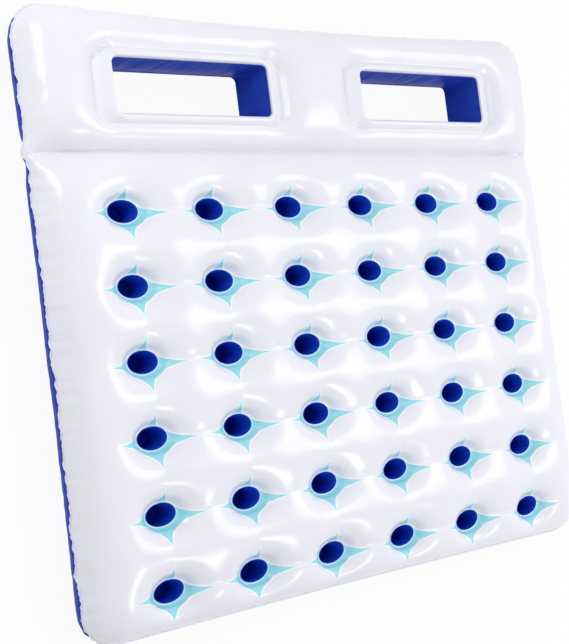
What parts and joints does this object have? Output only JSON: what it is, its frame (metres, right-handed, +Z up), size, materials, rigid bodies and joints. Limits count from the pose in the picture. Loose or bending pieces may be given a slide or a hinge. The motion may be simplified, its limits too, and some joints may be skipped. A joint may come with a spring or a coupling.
{
  "type": "pool air mattress",
  "caption": "Wide inflatable pool mattress with a quilted bed of closed pockets and a fold-up pillow chamber with two hand-hold windows.",
  "frame": {"origin": "under the middle of the mattress, on the surface that it lies on", "axes": "+Z up; X across the mattress, its longest side; +Y from the foot to the pillow"},
  "size_m": [1.7262, 1.4928, 0.167],
  "materials": {
    "white_film": "satin calendered vinyl film",
    "blue_film": "glossy calendered vinyl film",
    "valve_vinyl": "clear moulded soft vinyl"
  },
  "bodies": {
    "bed": {"bed_top_sheet": "white_film", "bed_bottom_sheet": "blue_film", "pillow_crease_weld": "white_film", "bed_valve_base": "valve_vinyl", "pocket_sleeve_r1c1": "blue_film", "pocket_sleeve_r1c2": "blue_film", "pocket_sleeve_r1c3": "blue_film", "pocket_sleeve_r1c4": "blue_film", "pocket_sleeve_r1c5": "blue_film", "pocket_sleeve_r1c6": "blue_film", "pocket_sleeve_r2c1": "blue_film", "pocket_sleeve_r2c2": "blue_film", "pocket_sleeve_r2c3": "blue_film", "pocket_sleeve_r2c4": "blue_film", "pocket_sleeve_r2c5": "blue_film", "pocket_sleeve_r2c6": "blue_film", "pocket_sleeve_r3c1": "blue_film", "pocket_sleeve_r3c2": "blue_film", "pocket_sleeve_r3c3": "blue_film", "pocket_sleeve_r3c4": "blue_film", "pocket_sleeve_r3c5": "blue_film", "pocket_sleeve_r3c6": "blue_film", "pocket_sleeve_r4c1": "blue_film", "pocket_sleeve_r4c2": "blue_film", "pocket_sleeve_r4c3": "blue_film", "pocket_sleeve_r4c4": "blue_film", "pocket_sleeve_r4c5": "blue_film", "pocket_sleeve_r4c6": "blue_film", "pocket_sleeve_r5c1": "blue_film", "pocket_sleeve_r5c2": "blue_film", "pocket_sleeve_r5c3": "blue_film", "pocket_sleeve_r5c4": "blue_film", "pocket_sleeve_r5c5": "blue_film", "pocket_sleeve_r5c6": "blue_film", "pocket_sleeve_r6c1": "blue_film", "pocket_sleeve_r6c2": "blue_film", "pocket_sleeve_r6c3": "blue_film", "pocket_sleeve_r6c4": "blue_film", "pocket_sleeve_r6c5": "blue_film", "pocket_sleeve_r6c6": "blue_film"},
    "pillow": {"pillow_top_sheet": "white_film", "pillow_bottom_sheet": "blue_film", "window_lining_left": "blue_film", "window_lining_right": "blue_film", "pillow_valve_base": "valve_vinyl"},
    "bed_stem": {"bed_valve_stem": "valve_vinyl"},
    "bed_plug": {"bed_valve_plug": "valve_vinyl"},
    "bed_flap": {"bed_valve_flap": "valve_vinyl"},
    "pillow_stem": {"pillow_valve_stem": "valve_vinyl"},
    "pillow_plug": {"pillow_valve_plug": "valve_vinyl"},
    "pillow_flap": {"pillow_valve_flap": "valve_vinyl"}
  },
  "joints": [
    {"name": "pillow_fold", "type": "hinge", "parent": "bed", "child": "pillow", "pos_m": [0, 0.4003, 0.082], "axis": [1, 0, 0], "range_deg": [-45, 60]},
    {"name": "bed_stem_pull", "type": "slide", "parent": "bed", "child": "bed_stem", "axis": [0.7493, 0.0079, -0.6622], "range_m": [0, 0.012]},
    {"name": "bed_plug_pull", "type": "slide", "parent": "bed_stem", "child": "bed_plug", "axis": [0.7493, 0.0079, -0.6622], "range_m": [0, 0.01]},
    {"name": "bed_check_flap", "type": "hinge", "parent": "bed_stem", "child": "bed_flap", "pos_m": [0.81631, -0.42302, 0.02666], "axis": [0.0059, -1, -0.0052], "range_deg": [0, 60]},
    {"name": "pillow_stem_pull", "type": "slide", "parent": "pillow", "child": "pillow_stem", "axis": [0.7486, -0.0095, -0.663], "range_m": [0, 0.012]},
    {"name": "pillow_plug_pull", "type": "slide", "parent": "pillow_stem", "child": "pillow_plug", "axis": [0.7486, -0.0095, -0.663], "range_m": [0, 0.01]},
    {"name": "pillow_check_flap", "type": "hinge", "parent": "pillow_stem", "child": "pillow_flap", "pos_m": [0.8172, 0.51575, 0.02667], "axis": [-0.0071, -1, 0.0063], "range_deg": [0, 60]}
  ]
}
